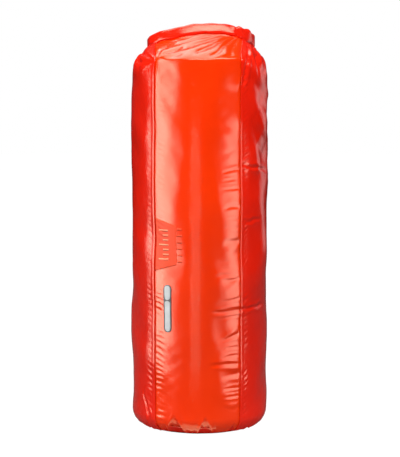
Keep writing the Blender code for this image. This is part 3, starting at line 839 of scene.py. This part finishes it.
def softbox(name, place, aim, width, height, power, colour=(1.0, 1.0, 1.0)):
    """A rectangular light that the camera doesn't see."""
    data = bpy.data.lights.new(name, "AREA")
    data.shape = "RECTANGLE"
    data.size = width
    data.size_y = height
    data.energy = power
    data.color = colour
    light = bpy.data.objects.new(name, data)
    light.location = place
    light.rotation_euler = (Vector(aim) - Vector(place)).to_track_quat("-Z", "Y").to_euler()
    light.visible_camera = False
    bpy.context.scene.collection.objects.link(light)
    return light


def around_softbox(name, azimuths, distance, heights, radiance):
    """An upright softbox that the wall mirrors, between two azimuths and heights, at this distance from the axis."""
    middle = math.radians(sum(azimuths) / 2)
    width = 2 * distance * math.tan(math.radians(azimuths[1] - azimuths[0]) / 2)
    height = heights[1] - heights[0]
    level = sum(heights) / 2
    place = (distance * math.sin(middle), -distance * math.cos(middle), level)
    light = softbox(name + "_softbox", place, (0.0, 0.0, level), width, height, radiance * math.pi * width * height)
    light.visible_diffuse = False


def lights():
    """The softboxes. Some show only in reflections, where they shape the highlights, and some only act on the diffuse
    shading, where they set the colours."""
    for box in REFLECTED_BOXES:
        around_softbox(*box)
    softbox("overhead_softbox", (-0.30, 0.2, 2.3), (0.0, 0.05, 0.6), 2.1, 1.6, 46).visible_diffuse = False
    for light in SHADING_LIGHTS:
        softbox(*light).visible_glossy = False
    softbox("right_rim", (1.2, 1.2, 0.45), (0, 0, 0.35), 0.5, 0.7, 1.0)
    place = Vector((-0.012, -0.106, 0.002))
    glow = softbox("floor_glow", place, place + Vector((0, 0, 1)), 0.085, 0.022, 0.016, (1.0, 0.70, 0.48))
    glow.visible_diffuse = False


def camera():
    """The camera, a little above the bag's middle and a few metres off."""
    distance, azimuth, elevation = 2.85, math.radians(2.0), math.radians(6.5)
    target = Vector((0.0008, 0.0, 0.3120))
    away = Vector(
        (
            math.sin(azimuth) * math.cos(elevation),
            -math.cos(azimuth) * math.cos(elevation),
            math.sin(elevation),
        )
    )
    data = bpy.data.cameras.new("camera")
    data.lens = 142.0
    data.sensor_width = 36.0
    obj = bpy.data.objects.new("camera", data)
    obj.location = target + away * distance
    obj.rotation_euler = (-away).to_track_quat("-Z", "Y").to_euler()
    bpy.context.scene.collection.objects.link(obj)
    bpy.context.scene.camera = obj


def webbing_look():
    """Woven webbing: ribs across the strap, broken by the warp threads."""
    made, surface, node, link = shader("webbing")
    place = node("TexCoord").outputs["Object"]
    ribs = node("TexWave", {"Vector": place}, bands_direction="X", in_1=420.0, in_2=0.3, in_3=1.0).outputs["Fac"]
    warp = node("TexWave", {"Vector": place}, bands_direction="Z", in_1=300.0, in_2=0.3, in_3=1.0).outputs["Fac"]
    weave = node("Math", {0: ribs, 1: warp}, operation="MULTIPLY").outputs[0]
    link(ramp(node, weave, [(0.1, (0.006, 0.006, 0.007)), (0.9, (0.035, 0.035, 0.038))]), surface.inputs["Base Color"])
    link(node("Bump", {"Height": weave}, in_0=0.7, in_1=0.0006).outputs[0], surface.inputs["Normal"])
    surface.inputs["Roughness"].default_value = 0.85
    return made


def moulded(name, colour, dark, roughness, metallic=0.0):
    """A moulded or turned surface: fine grain in its gloss and height, and a slightly uneven colour."""
    made, surface, node, link = shader(name)
    place = node("TexCoord").outputs["Object"]
    fine = node("TexNoise", {"Vector": place}, in_2=1600.0, in_3=3.0).outputs[0]
    broad = node("TexNoise", {"Vector": place}, in_2=60.0, in_3=2.0).outputs[0]
    link(ramp(node, broad, [(0.35, dark), (0.65, colour)]), surface.inputs["Base Color"])
    gloss = node("MapRange", {0: fine}, in_1=0.3, in_2=0.7, in_3=roughness - 0.05, in_4=roughness + 0.07)
    link(gloss.outputs[0], surface.inputs["Roughness"])
    link(node("Bump", {"Height": fine}, in_0=0.12, in_1=0.0002).outputs[0], surface.inputs["Normal"])
    surface.inputs["Metallic"].default_value = metallic
    return made


ORANGE = coated_fabric("orange_coated", (0.72, 0.027, 0.0003), (0.66, 0.022, 0.0002))
RED = coated_fabric("red_coated", (0.64, 0.0100, 0.0018), (0.58, 0.008, 0.0014))
DARK_ORANGE = moulded("dark_orange_print", (0.72, 0.050, 0.010), (0.66, 0.044, 0.008), 0.55)
DARK_ORANGE.node_tree.nodes["Principled BSDF"].inputs["Specular IOR Level"].default_value = 0.2
PALE_PRINT = moulded("pale_print", (0.82, 0.19, 0.085), (0.76, 0.16, 0.07), 0.5)
SILVER = moulded("silver_print", (0.30, 0.31, 0.31), (0.24, 0.25, 0.25), 0.42, 0.2)
LABEL_RIM = moulded("label_rim", (0.045, 0.035, 0.035), (0.030, 0.022, 0.022), 0.45)
WEBBING = webbing_look()
PLASTIC = moulded("black_moulded", (0.016, 0.016, 0.018), (0.012, 0.012, 0.013), 0.38)
WHITE_PLASTIC = moulded("white_moulded", (0.78, 0.78, 0.75), (0.72, 0.72, 0.69), 0.45)
STEEL = moulded("steel", (0.60, 0.60, 0.62), (0.52, 0.52, 0.54), 0.30, 1.0)


def red_angles():
    """The red panel's columns, finer beside its two welds."""
    zone = np.linspace(0.0, SEAM_ZONE, SEAM_CELLS + 1)
    rest = np.linspace(SEAM_ZONE, 180.0 - PANEL_HALF_ANGLE, BACK_CELLS + 1)[1:]
    half = PANEL_HALF_ANGLE + np.concatenate([zone, rest])
    return np.concatenate([half, 360.0 - half[-2::-1]])


def follow_loop(obj):
    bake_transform(obj)


def bag_wall():
    """The front panel, which runs on under the red panel's edges, and the red panel. Returns the front's grid, normals
    and rows' heights, for the prints."""
    lap = PANEL_HALF_ANGLE + LAP_ANGLE
    front, angle, heights, above, below = tube_grid(np.linspace(-lap, lap, FRONT_CELLS + 1))
    groove = 0.0005 * (1 - between(0.0, 1.4, PANEL_HALF_ANGLE - np.abs(angle)))
    front = front - (STEP + groove)[..., None] * grid_normals(front)
    obj = grid_mesh("front_fabric", front)
    thicken(obj, FABRIC)
    finish_piece(obj, ORANGE, "orange_fabric", "front_panel")
    follow_loop(obj)
    red, _, _, above, below = tube_grid(red_angles())
    obj = grid_mesh("back_fabric", red)
    thicken(obj, FABRIC)
    finish_piece(obj, RED, "red_fabric", "back_panel")
    follow_loop(obj)
    return (front, grid_normals(front)), heights


camera()
studio()
lights()
bpy.context.scene.view_settings.view_transform = "Standard"
prints(*bag_wall())
rolled_mouth()
base_fabric()
hardware()
